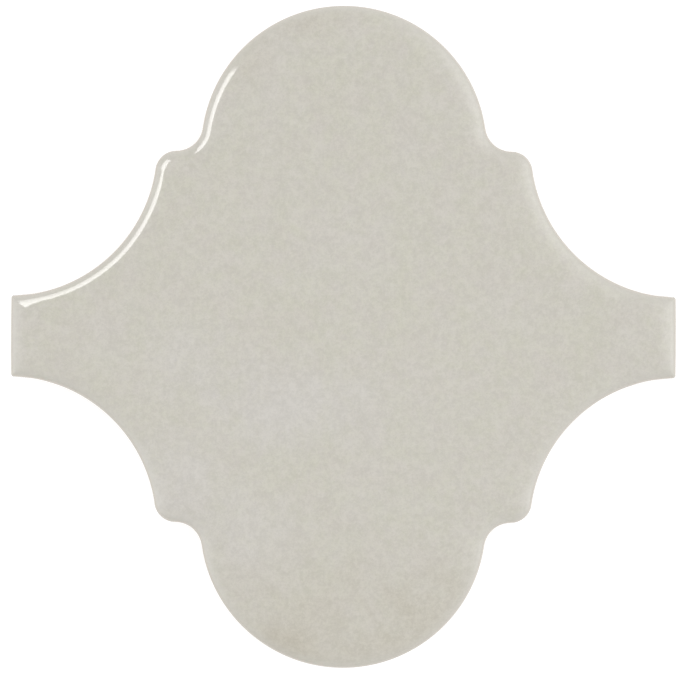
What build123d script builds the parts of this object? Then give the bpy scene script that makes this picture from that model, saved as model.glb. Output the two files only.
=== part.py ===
from build123d import *
from math import asin, atan2, degrees, radians, sqrt, tan
import os

# Glazed ceramic wall tile with a lantern outline. Lengths are in millimetres. The tile lies
# on its back at z = 0 with the glazed face up. Its domes point along Y, its flat ends along X.

# Outline
tile_width = 120.0  # over the two flat ends
end_height = 14.5  # each flat end, measured along Y
shoulder_radius = 3.8  # rounded corner between a dome and a hollow
joint = 1.0  # gap to every neighbour once laid

# Body
thickness = 8.5
back_bevel = 0.8  # at 45 degrees, round the back
face_rounding = 2.0  # the glazed face rolls over into the sides

# Back relief: shallow pressed pockets that key the tile into its adhesive
back_rim = 6.0
pocket_size = 8.0
pocket_depth = 0.8
pocket_draft = 30.0  # degrees off vertical
rib_width = 2.0
smallest_pocket = 0.2  # cut pockets below this share of a whole one are left out

# Nesting. A laid field repeats every column_pitch along a row, and the next row is shifted by
# half of that. The middle of the joint follows tangent arcs of two radii, nest_radius and
# step_radius. Moving it in or out by half a joint gives the radii of this tile and of its
# neighbours, so the joint is the same all round.
column_pitch = tile_width + joint
arc_spacing = column_pitch / 2
step_x = arc_spacing / 2
step_radius = shoulder_radius + joint / 2
nest_radius = sqrt(step_x**2 + step_radius**2) - step_radius

dome_radius = nest_radius - joint / 2
hollow_radius = nest_radius + joint / 2
root_radius = step_radius + joint / 2
step_angle = degrees(atan2(step_radius, step_x))
end_angle = degrees(asin(joint / 2 / hollow_radius))
arc_height = end_height / 2 + sqrt(hollow_radius**2 - (joint / 2) ** 2)

os.makedirs("parts", exist_ok=True)


def lantern_outline():
    """The outline as a flat face: one quarter from dome to flat end, mirrored twice."""
    sweep = 90 - step_angle
    dome = CenterArc((0, arc_height), dome_radius, 90, -sweep)
    root = CenterArc((step_x, arc_height + step_radius), root_radius, 180 + step_angle, sweep)
    shoulder = CenterArc((step_x, arc_height - step_radius), shoulder_radius, 90, -sweep)
    hollow = CenterArc(
        (arc_spacing, arc_height), hollow_radius, 180 + step_angle, sweep - end_angle
    )
    flat_end = Line(hollow @ 1, (tile_width / 2, 0))
    quarter = Curve() + [dome, root, shoulder, hollow, flat_end]
    half = quarter + mirror(quarter, Plane.YZ)
    return make_face(half + mirror(half, Plane.XZ))


def back_ribs():
    """Straight drafted ribs both ways, run on past the pockets' mouth and floor."""
    pitch = pocket_size + rib_width
    flare = pocket_depth * tan(radians(pocket_draft))
    crest, root = rib_width / 2 - flare, rib_width / 2 + 2 * flare
    section = Polygon(
        (-crest, -pocket_depth),
        (crest, -pocket_depth),
        (root, 2 * pocket_depth),
        (-root, 2 * pocket_depth),
        align=None,
    )
    rib = extrude(Plane.YZ * section, tile_width / 2, both=True)
    steps = int(tile_width / pitch / 2)
    along_x = [Pos(0, step * pitch, 0) * rib for step in range(-steps, steps + 1)]
    return along_x + [Rot(0, 0, 90) * bar for bar in along_x]


def back_pockets(outline):
    """A drafted field inside the plain rim, parted into pockets by the ribs."""
    field = extrude(offset(outline, -back_rim), pocket_depth, taper=pocket_draft)
    whole_pocket = pocket_size**2 * pocket_depth
    pockets = (field - back_ribs()).solids()
    return [pocket for pocket in pockets if pocket.volume > smallest_pocket * whole_pocket]


outline = lantern_outline()
tile = extrude(outline, thickness) - back_pockets(outline)

back = tile.faces().sort_by(Axis.Z)[0]
tile = chamfer(back.outer_wire().edges(), back_bevel)

face = tile.faces().sort_by(Axis.Z)[-1]
tile = fillet(face.edges(), face_rounding)

export_step(tile, "parts/tile.step")
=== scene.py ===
# %% [markdown]
# # A glazed lantern tile
# The real thing is one piece of pressed clay, fired with a coat of glaze on its face. So the
# model is one closed mesh with two finishes on it: glaze on the face and over its rounded
# edge, bare fired clay on the sides and the back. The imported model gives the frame: the back
# lies on z = 0, the glazed face looks up, and the domes point along Y.

# %% Load the frame
import math

import bmesh
import bpy
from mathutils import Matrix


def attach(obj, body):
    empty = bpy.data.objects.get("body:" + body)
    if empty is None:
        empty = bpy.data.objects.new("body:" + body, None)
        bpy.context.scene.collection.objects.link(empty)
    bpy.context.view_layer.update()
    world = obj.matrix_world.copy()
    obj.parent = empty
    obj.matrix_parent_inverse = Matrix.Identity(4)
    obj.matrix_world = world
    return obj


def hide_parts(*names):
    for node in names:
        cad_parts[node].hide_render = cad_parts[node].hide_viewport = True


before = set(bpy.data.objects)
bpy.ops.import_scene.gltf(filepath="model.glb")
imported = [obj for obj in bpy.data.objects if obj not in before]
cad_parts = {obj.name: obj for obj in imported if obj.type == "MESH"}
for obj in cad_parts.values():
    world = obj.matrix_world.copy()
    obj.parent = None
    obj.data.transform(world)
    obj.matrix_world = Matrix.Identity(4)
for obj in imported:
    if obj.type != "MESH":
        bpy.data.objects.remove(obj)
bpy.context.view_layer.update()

# %% [markdown]
# ## The sizes
# Each size of the tile is written once, in millimetres as a tile maker would say it, and
# turned into metres by mm. The arcs follow from the way the tiles nest: the middle of the
# joint between neighbours is a chain of tangent arcs of only two radii, and this tile's
# edge lies half a joint inside it.

# %% Sizes of the tile
mm = 0.001
tile_width = 120 * mm
end_height = 14.5 * mm
thickness = 8.5 * mm
joint = 1.0 * mm
shoulder_radius = 3.8 * mm
hair = 0.01 * mm  # two things closer than this are taken to touch

arc_spacing = (tile_width + joint) / 2
step_x = arc_spacing / 2
step_radius = shoulder_radius + joint / 2
nest_radius = math.hypot(step_x, step_radius) - step_radius
dome_radius = nest_radius - joint / 2
hollow_radius = nest_radius + joint / 2
root_radius = step_radius + joint / 2
step_angle = math.atan2(step_radius, step_x)
arc_height = end_height / 2 + math.sqrt(hollow_radius**2 - (joint / 2) ** 2)
print("dome radius", round(dome_radius / mm, 2), "mm, centre at", round(arc_height / mm, 2), "mm")

# %% [markdown]
# ## Drawing the outline
# On paper the outline is drawn with a compass. Blender's compass is Spin: it carries the
# picked point round a centre and leaves edges behind. A tiny plane merged to its centre gives
# the first point, at the top of the dome. Four spins make dome, root, shoulder and hollow, and
# one extrude runs down the flat end. A Mirror modifier then turns the quarter into the whole.
# A loop a little larger or smaller has the same centres, so the same function draws it, and
# where the shoulder has no radius left, the two arcs beside it simply meet.
#
# The end corners are square, and later the edge is inset ring by ring. Each ring's corner
# creeps inwards along both sides and would run over any point that lies near. So the last
# corner_room of the hollow, a bit more than the rings are wide, is one long step.

# %% A compass for the outline
def turn(centre, angle, steps):
    """Carries the picked point clockwise round a centre, leaving an arc of edges."""
    bpy.ops.mesh.spin(steps=steps, angle=angle, center=(*centre, 0), axis=(0, 0, 1))


corner_room = 3.4 * mm


def draw_outline(name, grow, height, fineness):
    """The outline, grown outwards by grow, as a closed loop at a height."""
    bpy.ops.object.select_all(action="DESELECT")
    start = (0, arc_height + dome_radius + grow, height)
    bpy.ops.mesh.primitive_plane_add(size=0.1 * mm, location=start)
    piece = bpy.context.object
    piece.name = name
    bpy.ops.object.transform_apply(location=True, rotation=True, scale=True)
    bpy.ops.object.mode_set(mode="EDIT")
    bpy.ops.mesh.select_mode(type="VERT")
    bpy.ops.mesh.select_all(action="SELECT")
    bpy.ops.mesh.merge(type="CENTER")

    def steps(radius, angle):
        return max(3, round(radius * abs(angle) / fineness))

    sweep = math.pi / 2 - step_angle
    dome_centre = (0, arc_height)
    root_centre = (step_x, arc_height + step_radius)
    shoulder_centre = (step_x, arc_height - step_radius)
    hollow_centre = (arc_spacing, arc_height)
    root = root_radius - grow
    hollow = hollow_radius - grow
    end_angle = math.asin((joint / 2 - grow) / hollow)
    turn(dome_centre, sweep, steps(dome_radius + grow, sweep))
    if shoulder_radius + grow > 0:
        turn(root_centre, -sweep, steps(root, sweep))
        turn(shoulder_centre, sweep, steps(shoulder_radius + grow, sweep))
        hollow_start = step_angle
    else:
        # No shoulder is left here, so the root's arc runs on until it meets the hollow's.
        apart = math.hypot(step_x, step_radius)
        opening = math.acos((apart**2 + root**2 - hollow**2) / (2 * apart * root))
        short = math.pi - 2 * step_angle - opening
        turn(root_centre, -short, steps(root, short))
        corner_x = step_x + root * math.cos(math.pi + step_angle + short)
        hollow_start = math.acos((arc_spacing - corner_x) / hollow)
    last = corner_room / hollow
    hollow_sweep = math.pi / 2 - hollow_start - end_angle - last
    turn(hollow_centre, -hollow_sweep, steps(hollow, hollow_sweep))
    turn(hollow_centre, -last, 1)
    half_end = arc_height - hollow * math.cos(end_angle)
    bpy.ops.mesh.extrude_region_move(TRANSFORM_OT_translate={"value": (0, -half_end, 0)})
    bpy.ops.object.mode_set(mode="OBJECT")
    mirror = piece.modifiers.new("whole outline", "MIRROR")
    mirror.use_axis = (True, True, False)
    mirror.merge_threshold = hair
    bpy.ops.object.modifier_apply(modifier=mirror.name)
    return piece


def fill_outline(piece, up):
    """Fills the loop with one big face that looks up or down, and stays in edit mode."""
    bpy.ops.object.mode_set(mode="EDIT")
    bpy.ops.mesh.select_all(action="SELECT")
    bpy.ops.mesh.edge_face_add()
    filled = next(iter(bmesh.from_edit_mesh(piece.data).faces))
    if (filled.normal.z > 0) != up:
        bpy.ops.mesh.flip_normals()


# %% [markdown]
# ## Picking by place
# By hand one clicks points, edges and faces. In a script they are picked by where they lie or
# which way they face, so one small helper does all the clicking. The others say which way a
# face looks, read the heights off the piece that is being edited, and pull a face up.

# %% Helpers that pick and pull
def pick(piece, kind, wanted):
    """Selects the points, edges or faces for which wanted() is true, and returns how many."""
    bpy.ops.mesh.select_mode(type=kind)
    bpy.ops.mesh.select_all(action="DESELECT")
    work = bmesh.from_edit_mesh(piece.data)
    parts = {"VERT": work.verts, "EDGE": work.edges, "FACE": work.faces}[kind]
    found = [part for part in parts if wanted(part)]
    for part in found:
        part.select_set(True)
    work.select_flush_mode()
    bmesh.update_edit_mesh(piece.data)
    return len(found)


def looks_up(face):
    return face.normal.z > 0.999


def looks_down(face):
    return face.normal.z < -0.999


def heights(piece):
    """The heights of all points of the piece that is being edited."""
    return [point.co.z for point in bmesh.from_edit_mesh(piece.data).verts]


def raise_face(height):
    """Extrudes the picked face straight up."""
    bpy.ops.mesh.extrude_region_move(TRANSFORM_OT_translate={"value": (0, 0, height)})


# %% [markdown]
# ## The clay body's sides
# The body is drawn a glaze coat's thickness smaller than the finished tile, because the coat
# adds to it. The loop is filled to one big face, which is then pulled up in a few steps to
# where the glaze ends. The steps give the side enough rings to be a little uneven.

# %% Sides of the clay body
glaze_coat = 0.15 * mm
back_bevel = 0.8 * mm
lap_height = 5.0 * mm
fineness = 0.62 * mm
side_steps = 6

tile = draw_outline("glazed_tile", -glaze_coat, back_bevel, fineness)
fill_outline(tile, up=True)
for _ in range(side_steps):
    raise_face((lap_height - back_bevel) / side_steps)
print("points of the sides", len(heights(tile)))

# %% [markdown]
# ## The glaze and its rounded edge
# Melted glaze stands a little proud of the clay, with a thin bead where it ended its run down
# the side. Shrink/Fatten pushes the picked face out for the bead, and an inset with a depth
# draws it back to the coat. Then the face is inset ring by ring, each a bit further in and a
# bit higher. The rings follow a quarter of a flattened oval, much longer across the face than
# down the side, because the glaze pulls back from the edge and thins out over the first
# millimetres of the face. The last part of the oval is almost flat and is added further on.

# %% Glaze bead and rolled edge
bead = 0.08 * mm
bead_foot = 0.03 * mm
bead_height = 0.12 * mm
bead_fade = 0.3 * mm
roll_width = 6.0 * mm
roll_drop = 1.8 * mm
roll_power = 2.4
ringed_width = 3.2 * mm
rings = 18


def below_face(across):
    """How far the oval lies below the middle of the face, that far in from the side."""
    share = max(0, 1 - across / roll_width)
    return roll_drop * (1 - (1 - share**roll_power) ** (1 / roll_power))


raise_face(bead_foot)
bpy.ops.transform.shrink_fatten(value=glaze_coat + bead, use_even_offset=True)
raise_face(bead_height)
bpy.ops.mesh.inset(thickness=bead, depth=bead_fade, use_even_offset=True)
coat_top = max(heights(tile))
raise_face(thickness - roll_drop - coat_top)
across = 0.0
for ring in range(1, rings + 1):
    next_across = ringed_width * (ring / rings) ** 2
    rise = below_face(across) - below_face(next_across)
    bpy.ops.mesh.inset(thickness=next_across - across, depth=rise, use_even_offset=True)
    across = next_across
ringed_top = max(heights(tile))
print("bead top", round(coat_top / mm, 2), "mm, last ring", round(ringed_top / mm, 3), "mm")

# %% [markdown]
# ## The bevel of the back
# The edge of the back is bevelled, so that the tile comes out of its mould and doesn't chip. It
# is an inset with a depth, between two narrow ones that take the sharpness off.

# %% Bevel the back
bevel_steps = (  # inwards, and down
    (0.1 * mm, 0.06 * mm),
    (0.6 * mm, 0.6 * mm),
    (0.1 * mm, 0.14 * mm),
)
pick(tile, "FACE", looks_down)
for inwards, down in bevel_steps:
    bpy.ops.mesh.inset(thickness=inwards, depth=down, use_even_offset=True)
print("back at", round(min(heights(tile)) / mm, 3), "mm")

# %% [markdown]
# The insets leave a sharp crease at the four end corners, from the back up to the face. A
# pressed and glazed tile has none, so its outer part is picked and gets a narrow rounded
# bevel. Its points lie on the line half-way between the flat end and the last step of the
# hollow, which slants by strip_angle, so they are found by that line. The inner part is left:
# it is almost flat, and the face will sink there.

# %% Round the end corners
end_round = 0.35 * mm
rounded_width = 1.2 * mm
near_line = 0.12 * mm
least_rise = 0.0005 * mm
strip_angle = (corner_room + joint) / 2 / hollow_radius
corner_slope = math.tan(math.radians(45) - strip_angle / 2)


def on_end_corner(place):
    """True on the slanting line that the rings' corners follow, seen from above."""
    from_end = tile_width / 2 - abs(place.x)
    across_end = end_height / 2 - corner_slope * from_end
    return from_end < rounded_width and abs(abs(place.y) - across_end) < near_line


def is_corner_crease(edge):
    """True for an edge on that line which isn't level."""
    rise = abs(edge.verts[0].co.z - edge.verts[1].co.z)
    return rise > least_rise and all(on_end_corner(point.co) for point in edge.verts)


creases = pick(tile, "EDGE", is_corner_crease)
bpy.ops.mesh.bevel(offset=end_round, segments=4, affect="EDGES", clamp_overlap=False)
print("crease edges rounded", creases)

# %% [markdown]
# ## Cutting the large faces up
# One face with hundreds of corners can't follow a surface that waves. Bisect cuts it straight
# across along X and along Y every millimetre, which leaves small squares. The flat ends and
# the last steps of the hollows beside them are single long strips so far, which would bend the
# reflections near the corners. They are cut as finely as the rest of the outline.

# %% Bisect the glazed face and the strips beside the corners
def bisect_flat(picked, places, axis):
    """Cuts the faces that picked() selects by upright planes at the given places."""
    for place in places:
        picked()
        where = [0, 0, 0]
        where[axis] = place
        normal = [0, 0, 0]
        normal[axis] = 1
        bpy.ops.mesh.bisect(plane_co=where, plane_no=normal)


def pick_glazed_face():
    pick(tile, "FACE", lambda f: looks_up(f) and f.calc_center_median().z > ringed_top - hair)


def by_the_end(face, width):
    """True for a face that isn't level, within that width of a flat end."""
    return abs(face.normal.z) < 0.9999 and abs(face.calc_center_median().x) > tile_width / 2 - width


def pick_flat_ends():
    """The strips that face along X at the flat ends, from the bevel up over the rolled edge."""
    pick(tile, "FACE", lambda f: by_the_end(f, ringed_width + hair) and abs(f.normal.y) < 0.3)


def pick_hollow_ends():
    """The long last steps of the hollows, from the bevel up over the rolled edge."""
    reach = corner_room + 0.3 * mm
    pick(tile, "FACE", lambda f: by_the_end(f, reach) and abs(f.normal.y) > abs(f.normal.x))


grid = 1 * mm
face_cuts = [k * grid for k in range(-58, 59)]
bisect_flat(pick_glazed_face, face_cuts, 0)
bisect_flat(pick_glazed_face, face_cuts, 1)
end_cuts = [k * fineness for k in range(-9, 10)]
bisect_flat(pick_flat_ends, end_cuts, 1)
hollow_cuts = [side * (tile_width / 2 - k * fineness) for k in range(1, 6) for side in (-1, 1)]
bisect_flat(pick_hollow_ends, hollow_cuts, 0)
print("faces after the cuts", len(bmesh.from_edit_mesh(tile.data).faces))

# %% [markdown]
# ## The field of the back
# A pressed tile has a field of shallow pockets on its back for the adhesive, inside a plain
# rim. So the tile's plain back face is taken out, and the field is modelled as a flat sheet of
# its own: one more compass outline, six millimetres in, is filled and bisected along both
# sides of every rib. The pockets' outlines are then faces of their own, and are picked by
# where they lie between the ribs.

# %% Draw the field and part it into ribs and pockets
back_rim = 6 * mm
pocket = 8 * mm
rib = 2 * mm
pocket_depth = 0.8 * mm
pocket_draft = math.radians(30)
smallest_pocket = 0.3  # as a share of a whole one
pitch = pocket + rib
field_fineness = 1.2 * mm

pick(tile, "FACE", looks_down)
bpy.ops.mesh.delete(type="ONLY_FACE")
bpy.ops.object.mode_set(mode="OBJECT")
field = draw_outline("field_of_the_back", -back_rim, 0, field_fineness)
fill_outline(field, up=False)


def pick_field():
    pick(field, "FACE", looks_down)


rib_sides = [k * pitch + side * rib / 2 for k in range(-5, 6) for side in (-1, 1)]
bisect_flat(pick_field, rib_sides, 0)
bisect_flat(pick_field, rib_sides, 1)
print("pieces of the field", len(bmesh.from_edit_mesh(field.data).faces))


def in_pocket(face):
    """True between the ribs, where enough of a pocket is left."""
    centre = face.calc_center_median()
    from_rib = [abs((v / pitch) - round(v / pitch)) * pitch for v in centre.xy]
    return min(from_rib) > rib / 2 and face.calc_area() > smallest_pocket * pocket**2


# %% [markdown]
# Where the field's round edge cuts a pocket to a pointed scrap, points crowd its tips, and the
# insets that press it in would fold there. So points that almost touch are merged, and the
# ones on the round edge beside a tip are dissolved, which leaves the tip long straight sides.

# %% Clear the pointed pockets
touching = 0.5 * mm
tip_room = 3.6 * mm
slight_turn = 30
sharp_turn = 100


def turn_at(corner):
    """How sharply a face's outline turns at a corner, in degrees."""
    return math.degrees(math.pi - corner.calc_angle())


def crowds_a_tip(point):
    """True for a point on the field's round edge that lies near the tip of a pocket."""
    for corner in point.link_loops:
        if in_pocket(corner.face) and turn_at(corner) < slight_turn:
            tips = [c.vert.co for c in corner.face.loops if turn_at(c) > sharp_turn]
            if any((tip - point.co).length < tip_room for tip in tips):
                return True
    return False


def is_short(edge):
    """True for an edge of a pocket whose ends almost touch."""
    return edge.calc_length() < touching and any(in_pocket(face) for face in edge.link_faces)


short = pick(field, "EDGE", is_short)
bpy.ops.mesh.remove_doubles(threshold=touching)
crowded = pick(field, "VERT", crowds_a_tip)
bpy.ops.mesh.dissolve_verts()
print("short edges merged", short, "points dissolved", crowded)

# %% [markdown]
# A punch has no knife edges, so the pockets' corners are rounded first, with a bevel of the
# points where the sides of two ribs cross. Then five insets with a depth press the pockets
# in: two short ones roll over the mouth, one makes the sloping wall, and two run out into
# the floor.

# %% Round the corners and press
corner_round = 0.75 * mm
least_room = 1.6 * mm


def is_rib_corner(point):
    """True for the corner of a pocket with room for the rounding on every side."""
    on_lines = all(min(abs(c - side) for side in rib_sides) < hair for c in point.co.xy)
    room = min(edge.calc_length() for edge in point.link_edges)
    return on_lines and room > least_room and any(in_pocket(face) for face in point.link_faces)


corners = pick(field, "VERT", is_rib_corner)
bpy.ops.mesh.bevel(offset=corner_round, segments=3, affect="VERTICES", clamp_overlap=False)

pockets = pick(field, "FACE", in_pocket)
roll_in = [(0.12 * mm, 0.04 * mm), (0.08 * mm, 0.08 * mm)]  # inwards, and down
wall_depth = pocket_depth - 2 * sum(down for inwards, down in roll_in)
wall = [(wall_depth * math.tan(pocket_draft), wall_depth)]
for inwards, down in roll_in + wall + roll_in[::-1]:
    bpy.ops.mesh.inset(thickness=inwards, depth=-down, use_even_offset=True, use_individual=True)
bpy.ops.object.mode_set(mode="OBJECT")
print("corners rounded", corners, "pockets pressed", pockets)

# %% [markdown]
# ## The rim
# The pressed field is joined to the tile, and Fill closes the rim between their two loops.
# Bridge would do that too, but it pairs the points of both loops one by one, and here the
# loops have different numbers of them, so it twists.

# %% Join the field and fill the rim
tile.select_set(True)
bpy.context.view_layer.objects.active = tile
bpy.ops.object.join()
bpy.ops.object.mode_set(mode="EDIT")
open_edges = pick(tile, "EDGE", lambda e: len(e.link_faces) < 2)
bpy.ops.mesh.fill(use_beauty=True)
bpy.ops.mesh.select_all(action="SELECT")
bpy.ops.mesh.normals_make_consistent(inside=False)
open_left = sum(len(e.link_faces) != 2 for e in bmesh.from_edit_mesh(tile.data).edges)
print("open edges filled between", open_edges, "left open", open_left)

# %% [markdown]
# ## Two finishes on one piece
# A mesh can hold several materials, one to each of its slots. All faces are given to the clay
# first, then those from the bead upwards to the glaze.

# %% Clay below, glaze above
tile.data.materials.append(bpy.data.materials.new("fired clay"))
tile.data.materials.append(bpy.data.materials.new("grey glaze"))
bpy.ops.mesh.select_all(action="SELECT")
tile.active_material_index = 0
bpy.ops.object.material_slot_assign()
glazed = pick(tile, "FACE", lambda f: f.calc_center_median().z > lap_height + bead_foot - hair)
tile.active_material_index = 1
bpy.ops.object.material_slot_assign()
bpy.ops.object.mode_set(mode="OBJECT")
print("glazed faces", glazed, "of", len(tile.data.polygons))

# %% [markdown]
# ## The last part of the roll
# Inside the last ring the face is still flat, a tenth of a millimetre too low. It should rise
# along the last, almost level part of the oval. A Displace modifier without a pattern lifts
# each point by its weight in a vertex group, and the weight follows from how far the point
# lies inside the outline, which the compass arcs give.

# %% Lift the face along the oval
def ramp(value, start, end):
    """0 at start, 1 at end, straight in between and held beyond."""
    return min(1, max(0, (value - start) / (end - start)))


def weigh(name, share):
    """A vertex group in which share(place) says how strongly each point follows a modifier."""
    group = tile.vertex_groups.new(name=name)
    for point in tile.data.vertices:
        group.add([point.index], share(point.co), "REPLACE")
    return name


def depth_inside(place):
    """How far a point lies inside the outline, seen from above."""
    x, y = abs(place.x), abs(place.y)
    depths = [
        tile_width / 2 - x,
        math.hypot(x - step_x, y - arc_height - step_radius) - root_radius,
        math.hypot(x - arc_spacing, y - arc_height) - hollow_radius,
    ]
    for radius, across, up in (
        (dome_radius, x, y - arc_height),
        (shoulder_radius, x - step_x, y - arc_height + step_radius),
    ):
        if across >= 0 and up >= across * math.tan(step_angle):
            depths.append(radius - math.hypot(across, up))
    return min(depths)


def lift_share(place):
    """None on the last ring, full where the oval ends."""
    if place.z < ringed_top - hair:
        return 0
    return 1 - below_face(max(ringed_width, depth_inside(place))) / below_face(ringed_width)


lift = tile.modifiers.new("last part of the roll", "DISPLACE")
lift.vertex_group = weigh("last part of the roll", lift_share)
lift.direction = "Z"
lift.mid_level = 0
lift.strength = below_face(ringed_width)
bpy.context.view_layer.objects.active = tile
bpy.ops.object.modifier_apply(modifier=lift.name)
print("face lifted by", round(below_face(ringed_width) / mm, 3), "mm, to",
      round(max(point.co.z for point in tile.data.vertices) / mm, 3), "mm")

# %% [markdown]
# ## Sunken corners
# Beside the four corners of the flat ends two rolls run into each other, and the melted glaze
# draws back from both sides. So the face dips there by both rolls together, which is what
# carries the highlight away from the edge before it ends. The same modifier does it: every
# glazed point sinks by most of the roll of its farther side, and no deeper than deepest_dip.

# %% Sink the corners
deepest_dip = 0.4 * mm
second_roll = 0.8


def sink_share(place):
    """How much of the deepest dip a point sinks by, which is nothing 6 mm from a corner."""
    if place.z < coat_top + hair:
        return 0
    from_end = tile_width / 2 - abs(place.x)
    from_hollow = math.hypot(abs(place.x) - arc_spacing, abs(place.y) - arc_height) - hollow_radius
    dip = second_roll * below_face(max(from_end, from_hollow, 0)) / deepest_dip
    return dip / (1 + dip**3) ** (1 / 3)


sink = tile.modifiers.new("sunken corners", "DISPLACE")
sink.vertex_group = weigh("sunken corners", sink_share)
sink.direction = "Z"
sink.mid_level = 0
sink.strength = -deepest_dip
bpy.ops.object.modifier_apply(modifier=sink.name)
deepest = deepest_dip * max(sink_share(point.co) for point in tile.data.vertices)
print("corners dip by up to", round(deepest / mm, 2), "mm")

# %% [markdown]
# ## The little unevenness of a fired thing
# Nothing here is ruler straight: the face dips and swells by a few hundredths of a millimetre,
# which is what makes its reflections bend, the pressed sides are a little rough, and the
# glaze ends in a wavy line. Again a Displace modifier moves the points, now with a cloud
# pattern, and a vertex group says how strongly each point follows it.

# %% Soft ripples
def ripple(group, cloud_size, height, direction):
    """Moves the points of a group by a cloud pattern of that size, by about that height."""
    cloud = bpy.data.textures.new(group, "CLOUDS")
    cloud.noise_scale = cloud_size
    displace = tile.modifiers.new(group, "DISPLACE")
    displace.texture = cloud
    displace.texture_coords = "LOCAL"
    displace.vertex_group = group
    displace.direction = direction
    displace.mid_level = 0.5
    displace.strength = 2 * height
    before = [point.co.copy() for point in tile.data.vertices]
    bpy.ops.object.modifier_apply(modifier=displace.name)
    moved = max((point.co - old).length for point, old in zip(tile.data.vertices, before))
    print(group, "moves points by up to", round(moved / mm, 3), "mm")


def lap_share(place):
    """Full at the bead, none at the foot of the side or where the edge starts to roll over."""
    below = ramp(place.z, back_bevel, lap_height)
    above = ramp(place.z, thickness - roll_drop, coat_top)
    return min(below, above)


def face_share(place):
    """Full on the flat face, none where the rolled edge meets the side."""
    return ramp(place.z, thickness - roll_drop, thickness - 0.2 * mm)


def side_share(place):
    """Full on the pressed side, none at the back and beside the glaze."""
    return min(ramp(place.z, 0, 0.5 * mm), ramp(place.z, lap_height, lap_height - 1 * mm))


ripple(weigh("wavy glaze line", lap_share), 7 * mm, 1.2 * mm, "Z")
ripple(weigh("dips of the face", face_share), 16 * mm, 0.05 * mm, "Z")
ripple(weigh("rough sides", side_share), 1.5 * mm, 0.04 * mm, "NORMAL")

# %% [markdown]
# ## Shading and joining the frame
# Smooth shading hides the facets of the arcs, but the step where the glaze bead ends has to
# stay sharp, so the angle between two faces decides. Then the CAD tile is hidden, and this
# mesh takes its place and is attached to the only body, so it moves with it.

# %% Smooth by angle, and replace the CAD tile
bpy.ops.object.select_all(action="DESELECT")
tile.select_set(True)
bpy.context.view_layer.objects.active = tile
bpy.ops.object.shade_smooth_by_angle(angle=math.radians(35))
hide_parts("tile")
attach(tile, "root")

# %% [markdown]
# ## Building materials
# A material is a small chain of nodes. Every pattern reads Object coordinates, which are
# metres in the tile's own frame, so a noise of scale 1 / (2 * mm) has spots about two
# millimetres across. A few helpers keep the chains short.

# %% Helpers for material nodes
def open_material(name):
    """Starts a material's node chain and returns its nodes and its Principled shader."""
    material = bpy.data.materials[name]
    material.use_nodes = True
    nodes = material.node_tree.nodes
    return nodes, nodes["Principled BSDF"]


def add_node(nodes, kind, inputs, **settings):
    """Adds a node with its settings. An input is given a value, or an output to link to it."""
    node = nodes.new("ShaderNode" + kind)
    for name, value in settings.items():
        setattr(node, name, value)
    for key, value in inputs.items():
        if isinstance(value, bpy.types.NodeSocket):
            node.id_data.links.new(value, node.inputs[key])
        else:
            node.inputs[key].default_value = value
    return node


def place_on(nodes, middle=(0, 0, 0), unit=(1, 1, 1)):
    """Object coordinates, counted from a chosen middle in a chosen unit along X, Y and Z."""
    place = nodes.new("ShaderNodeTexCoord").outputs["Object"]
    shift = {"Vector": place, "Location": tuple(-c / u for c, u in zip(middle, unit))}
    shift["Scale"] = tuple(1 / u for u in unit)
    return add_node(nodes, "Mapping", shift).outputs["Vector"]


def spots(nodes, size, detail=2.0, roughness=0.5, middle=(0, 0, 0)):
    """A soft noise around 0.5, whose spots are about the given size across."""
    setup = {"Vector": place_on(nodes, middle), "Scale": 1 / size, "Detail": detail}
    setup["Roughness"] = roughness
    return add_node(nodes, "TexNoise", setup).outputs["Fac"]


def stretch(nodes, value, low, high, to_low=0.0, to_high=1.0):
    """Maps low..high of a value to another range, held at both ends."""
    setup = {"Value": value, "From Min": low, "From Max": high}
    setup.update({"To Min": to_low, "To Max": to_high})
    return add_node(nodes, "MapRange", setup, interpolation_type="SMOOTHSTEP").outputs["Result"]


def mix_colour(nodes, share, first, second):
    """The first colour where share is 0, the second where it is 1."""
    mixer = add_node(nodes, "Mix", {"Factor": share}, data_type="RGBA")
    for socket, colour in ((mixer.inputs[6], first), (mixer.inputs[7], second)):
        if isinstance(colour, bpy.types.NodeSocket):
            nodes.id_data.links.new(colour, socket)
        else:
            socket.default_value = (*colour, 1)
    return mixer.outputs[2]


def calculate(nodes, operation, first, second=0.0, clamp=False):
    """One step of arithmetic. With clamp, the result is held between 0 and 1."""
    step = add_node(nodes, "Math", {0: first, 1: second}, operation=operation, use_clamp=clamp)
    return step.outputs[0]


def patches(nodes, places, frayed):
    """Soft oval patches, full in their middles, which the frayed noise thins out unevenly."""
    total = 0.0
    for x, y, across, along, strength in places:
        oval = place_on(nodes, (x * mm, y * mm, thickness), (across * mm, along * mm, 10 * mm))
        ball = add_node(nodes, "TexGradient", {"Vector": oval}, gradient_type="SPHERICAL")
        thinned = calculate(nodes, "MULTIPLY", ball.outputs["Fac"], frayed)
        soft = stretch(nodes, thinned, 0.0, 0.65, 0.0, strength)
        total = calculate(nodes, "ADD", total, soft, clamp=True)
    return total


def height_of(nodes):
    """The height above the tile's back."""
    return add_node(nodes, "SeparateXYZ", {"Vector": place_on(nodes)}).outputs["Z"]


def facing_up(nodes):
    """How squarely the surface faces up: 1 on the flat face, 0 on the sides."""
    normal = nodes.new("ShaderNodeTexCoord").outputs["Normal"]
    return add_node(nodes, "SeparateXYZ", {"Vector": normal}).outputs["Z"]


def screen_colour(red, green, blue):
    """A colour as a screen shows it, 0 to 255, turned into the light it stands for."""
    def light(level):
        share = level / 255
        return share / 12.92 if share <= 0.04045 else ((share + 0.055) / 1.055) ** 2.4
    return light(red), light(green), light(blue)
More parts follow.
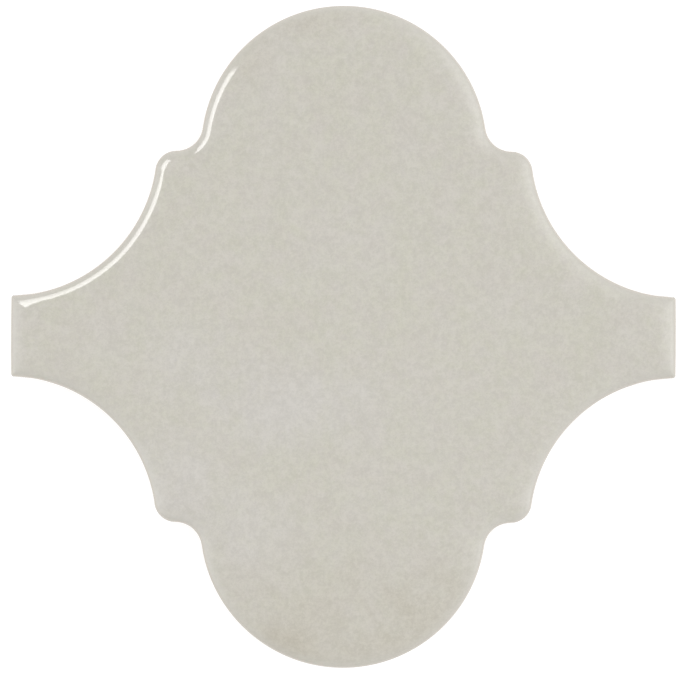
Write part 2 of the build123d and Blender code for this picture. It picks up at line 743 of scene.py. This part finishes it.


# %% [markdown]
# ## The grey glaze
# Close up, the glaze is a warm light grey full of fine flecks. In drifts of one or two
# centimetres, and in four soft patches left of the middle, it is lighter and a little pinker.
# Towards the lower dome and on the left of the upper one it is darker and browner: partly
# painted shade, partly a browner patch of glaze low on the left. A pinker tint, neither
# darker nor lighter, comes and goes over the whole face in cloudlets of a few millimetres.
# So there are four pairs of colours, each from dark fleck to light fleck, and three masks
# for the pinker, the lighter and the shaded browner pair. The flecks run through all of them.
# The patches are listed: middle, two half sizes in millimetres, and how strongly they show.

# %% Grey glaze
glaze_nodes, glaze = open_material("grey glaze")
plain_pair = screen_colour(192, 189.9, 176.2), screen_colour(203.5, 201.4, 187.7)
pink_pair = screen_colour(193.3, 188.4, 180.2), screen_colour(204.8, 199.9, 191.7)
lighter_pair = screen_colour(196, 192.5, 186), screen_colour(207.5, 204, 197.5)
# A darker, browner pair: partly painted shade, partly the colour of a browner patch of glaze.
shaded_browner_pair = screen_colour(184, 178.5, 165), screen_colour(197, 192, 179)
lighter_places = (
    (-26, -5, 14, 11, 0.55),
    (-9, -12, 22, 12, 0.7),
    (-31, -26, 12, 13, 0.7),
    (-16, -36, 13, 13, 0.65),
)
# Where the painted shade and the browner patch lie: the big ones are painted shade.
shaded_browner_places = (
    (-11, -56, 9, 5, 0.65),
    (-2, -61, 50, 34, 0.5),
    (16, -50, 18, 15, 0.3),
    (-9, 58, 16, 6, 0.4),
    (-18, 52, 8, 12, 0.4),
)

flecks = stretch(glaze_nodes, spots(glaze_nodes, 1.3 * mm, detail=3.0, roughness=0.95), 0.30, 0.70)
plain = mix_colour(glaze_nodes, flecks, *plain_pair)
pink = mix_colour(glaze_nodes, flecks, *pink_pair)
lighter = mix_colour(glaze_nodes, flecks, *lighter_pair)
shaded_browner = mix_colour(glaze_nodes, flecks, *shaded_browner_pair)

fraying = spots(glaze_nodes, 6 * mm, detail=4.0, roughness=0.7, middle=(3 * mm, 0, 0))
frayed = stretch(glaze_nodes, fraying, 0.30, 0.70, 0.4, 1.0)
drifting = spots(glaze_nodes, 16 * mm, detail=7.0, roughness=1.0)
drifts = stretch(glaze_nodes, drifting, 0.40, 0.62, 0.0, 0.45)
# Lighter, slightly pinker patches and drifts.
lighter_patches = patches(glaze_nodes, lighter_places, frayed)
lightening = calculate(glaze_nodes, "ADD", drifts, lighter_patches, clamp=True)
cloudlets = spots(glaze_nodes, 8 * mm, detail=6.0, roughness=0.85, middle=(0, 5 * mm, 0))
pinkness = stretch(glaze_nodes, cloudlets, 0.38, 0.62, 0.0, 0.8)
colour = mix_colour(glaze_nodes, pinkness, plain, pink)
colour = mix_colour(glaze_nodes, lightening, colour, lighter)
# Mixes in the painted shade and the browner patch.
colour = mix_colour(glaze_nodes, patches(glaze_nodes, shaded_browner_places, frayed), colour, shaded_browner)
print("milky patches", len(lighter_places), "browned patches", len(shaded_browner_places))

# %% [markdown]
# Over the rounded edge the coat thins, so it fades to a slightly darker tone there, and where
# the edge is steep the clay warms it and painted shade darkens it. The height above the back
# and the upward part of the normal, the direction that the surface faces, say where that is.
# The gloss comes from a clear coat over a dull base, which is how a glaze is built, and a
# slight bump gives it the softly uneven skin of melted glass.

# %% Thinning and painted edge shade, and gloss
glaze_thin = screen_colour(196, 193, 185)
clay_showing_and_shade = screen_colour(192, 181, 168)
thinning = stretch(glaze_nodes, height_of(glaze_nodes), thickness - 0.08 * mm, 7.4 * mm, 0.0, 0.6)
colour = mix_colour(glaze_nodes, thinning, colour, glaze_thin)
# Painted shade: the steep part of the rolled edge is painted darker and warmer, partly for the clay
# under the thin coat.
warming_and_shade = stretch(glaze_nodes, facing_up(glaze_nodes), 0.92, 0.32, 0.0, 0.7)
colour = mix_colour(glaze_nodes, warming_and_shade, colour, clay_showing_and_shade)
glaze_nodes.id_data.links.new(colour, glaze.inputs["Base Color"])

glaze.inputs["Roughness"].default_value = 0.6
glaze.inputs["Specular IOR Level"].default_value = 0.0
glaze.inputs["Coat Weight"].default_value = 1.0
glaze.inputs["Coat IOR"].default_value = 1.65
glaze.inputs["Coat Roughness"].default_value = 0.05
orange_peel = spots(glaze_nodes, 2.5 * mm)
peel = add_node(glaze_nodes, "Bump", {
    "Height": orange_peel, "Strength": 0.3, "Distance": 0.02 * mm})
glaze_nodes.id_data.links.new(peel.outputs["Normal"], glaze.inputs["Normal"])
glaze_nodes.id_data.links.new(peel.outputs["Normal"], glaze.inputs["Coat Normal"])
print("glaze nodes:", len(glaze_nodes))

# %% [markdown]
# ## The fired clay
# The bare body is a dry, slightly pinkish ivory. Pressed from damp powder, it has a fine
# open grain, soft cloudy colour and a few darker specks.

# %% Fired clay
clay_nodes, clay = open_material("fired clay")
clay_pale = screen_colour(212, 199, 181)
clay_warm = screen_colour(200, 183, 162)
clay_speck = screen_colour(160, 138, 116)

clouds = stretch(clay_nodes, spots(clay_nodes, 9 * mm, detail=5.0, roughness=0.6), 0.35, 0.65)
colour = mix_colour(clay_nodes, clouds, clay_pale, clay_warm)
specks = stretch(clay_nodes, spots(clay_nodes, 0.5 * mm), 0.70, 0.78)
faint_specks = calculate(clay_nodes, "MULTIPLY", specks, 0.6)
colour = mix_colour(clay_nodes, faint_specks, colour, clay_speck)
clay_nodes.id_data.links.new(colour, clay.inputs["Base Color"])
clay.inputs["Roughness"].default_value = 0.9
clay.inputs["Specular IOR Level"].default_value = 0.25
open_grain = spots(clay_nodes, 0.35 * mm, detail=4.0, roughness=0.65)
grain = add_node(clay_nodes, "Bump", {
    "Height": open_grain, "Strength": 0.8, "Distance": 0.06 * mm})
clay_nodes.id_data.links.new(grain.outputs["Normal"], clay.inputs["Normal"])
print("clay nodes:", len(clay_nodes))

# %% [markdown]
# ## Floor
# The tile lies on a plain pale floor. A faint glow of its own keeps it almost white, as on a
# light table, so only a soft shadow is left round the tile. Seen from below it is clear, and
# the back of the tile can be looked at.

# %% Floor
floor_size = 4
floor_gap = 0.1 * mm
floor_glow = 0.75

bpy.ops.object.select_all(action="DESELECT")
bpy.ops.mesh.primitive_plane_add(size=floor_size, location=(0, 0, -floor_gap))
floor = bpy.context.object
floor.name = "floor"
floor.data.materials.append(bpy.data.materials.new("pale floor"))
floor_nodes, paint = open_material("pale floor")
paint.inputs["Base Color"].default_value = (0.35, 0.35, 0.35, 1)
paint.inputs["Roughness"].default_value = 0.9
paint.inputs["Emission Color"].default_value = (1, 1, 1, 1)
paint.inputs["Emission Strength"].default_value = floor_glow
clear = floor_nodes.new("ShaderNodeBsdfTransparent")
under = floor_nodes.new("ShaderNodeNewGeometry").outputs["Backfacing"]
sides = add_node(floor_nodes, "MixShader", {0: under, 1: paint.outputs[0], 2: clear.outputs[0]})
floor_nodes.id_data.links.new(sides.outputs[0], floor_nodes["Material Output"].inputs["Surface"])

# %% [markdown]
# ## Light
# The studio is an even white sky with broad soft glows on its right, left and far side, as
# from large diffusers, and with a wide faint one and a small one low on the right. The flat
# face mirrors only the even part above it, and the rolled edge mirrors the glows, so it is
# lighter on both sides. Each glow is worked out from the angle between a direction of the sky
# and the glow's middle.

# %% Sky with soft glows
world = bpy.data.worlds.new("soft studio sky")
bpy.context.scene.world = world
world.use_nodes = True
sky_nodes = world.node_tree.nodes
direction = sky_nodes.new("ShaderNodeTexCoord").outputs["Generated"]
sky_level = 0.594
glows = (  # azimuth from +X and height above the floor in degrees, half width, brightness
    (23, 42, 41, 1.2),
    (183, 21, 61, 1.4),
    (93, 5, 52, 0.7),
    (-10, 2, 106, 0.7),
    (-8, 26, 22, 1.0),
)
brightness = sky_level
for azimuth, height, half_width, strength in glows:
    turned, raised = math.radians(azimuth), math.radians(height)
    level = math.cos(raised)
    middle = (math.cos(turned) * level, math.sin(turned) * level, math.sin(raised))
    both = add_node(sky_nodes, "VectorMath", {0: direction, 1: middle}, operation="DOT_PRODUCT")
    angle = calculate(sky_nodes, "ARCCOSINE", both.outputs["Value"])
    glow = stretch(sky_nodes, angle, 0, math.radians(half_width), strength, 0)
    brightness = calculate(sky_nodes, "ADD", glow, brightness)
sky = sky_nodes["Background"]
sky.inputs["Color"].default_value = (1, 1, 1, 1)
sky_nodes.id_data.links.new(brightness, sky.inputs["Strength"])
print("soft glows", len(glows))

# %% [markdown]
# A small bright panel hangs nine centimetres above the floor on the upper left. The rolled
# edge mirrors it as a thin white line along the hollow and the lower part of the dome. A panel
# so near ends the line where the photograph ends it. Its brightness fades out over its border,
# as cloth over a lamp does: Parametric gives the place on the lamp's face, from 0 to 1 both
# ways, and Ping-pong folds that into the distance from the nearer border. The panel has a grid
# before it, which is Spread: it shines within 60 degrees of straight down, so that the flat
# face doesn't mirror it into low views. It is only there for the reflections, so diffuse rays
# don't see it.

# %% Near panel
panel_place = (-94.0 * mm, 72.4 * mm, 88.5 * mm)
panel_size = (66 * mm, 53 * mm)
panel_border = 8 * mm
panel_spin = math.radians(56)
panel_brightness = 4.4
panel_spread = math.radians(120)

panel_light = bpy.data.lights.new("near panel", "AREA")
panel_light.shape = "RECTANGLE"
panel_light.size, panel_light.size_y = panel_size
panel_light.energy = panel_brightness * panel_size[0] * panel_size[1] * math.pi
panel_light.spread = panel_spread
panel_light.use_nodes = True
panel_nodes = panel_light.node_tree.nodes
on_panel = panel_nodes.new("ShaderNodeNewGeometry").outputs["Parametric"]
both_ways = add_node(panel_nodes, "SeparateXYZ", {"Vector": on_panel})
fade = 1.0
for way, length in zip("XY", panel_size):
    from_border = calculate(panel_nodes, "PINGPONG", both_ways.outputs[way], 0.5)
    rising = stretch(panel_nodes, from_border, 0, panel_border / length)
    fade = calculate(panel_nodes, "MULTIPLY", rising, fade)
panel_nodes.id_data.links.new(fade, panel_nodes["Emission"].inputs["Strength"])

panel = bpy.data.objects.new("near panel", panel_light)
bpy.context.scene.collection.objects.link(panel)
panel.location = panel_place
panel.rotation_euler = (0, 0, panel_spin)
panel.visible_camera = False
panel.visible_diffuse = False

# %% [markdown]
# ## Camera
# The photograph looks straight down, so the camera does too. Its distance follows from the
# lens: the picture has to be 124.6 mm wide at the height where the tile's side ends and its
# edge starts to roll over, because that is the outline that the camera sees.

# %% Camera
lens = 135
picture_width = 124.59 * mm
picture_middle = (0.279 * mm, -0.573 * mm)
picture_roll = math.radians(0.16)

camera_data = bpy.data.cameras.new("camera")
camera_data.lens = lens
camera = bpy.data.objects.new("camera", camera_data)
bpy.context.scene.collection.objects.link(camera)
distance = picture_width * lens / camera_data.sensor_width
camera.location = (*picture_middle, thickness - roll_drop + distance)
camera.rotation_euler = (0, 0, picture_roll)
camera_data.clip_start = 0.01
bpy.context.scene.camera = camera
bpy.context.scene.view_settings.view_transform = "Standard"
print("camera", round(distance / mm), "mm above the outline")
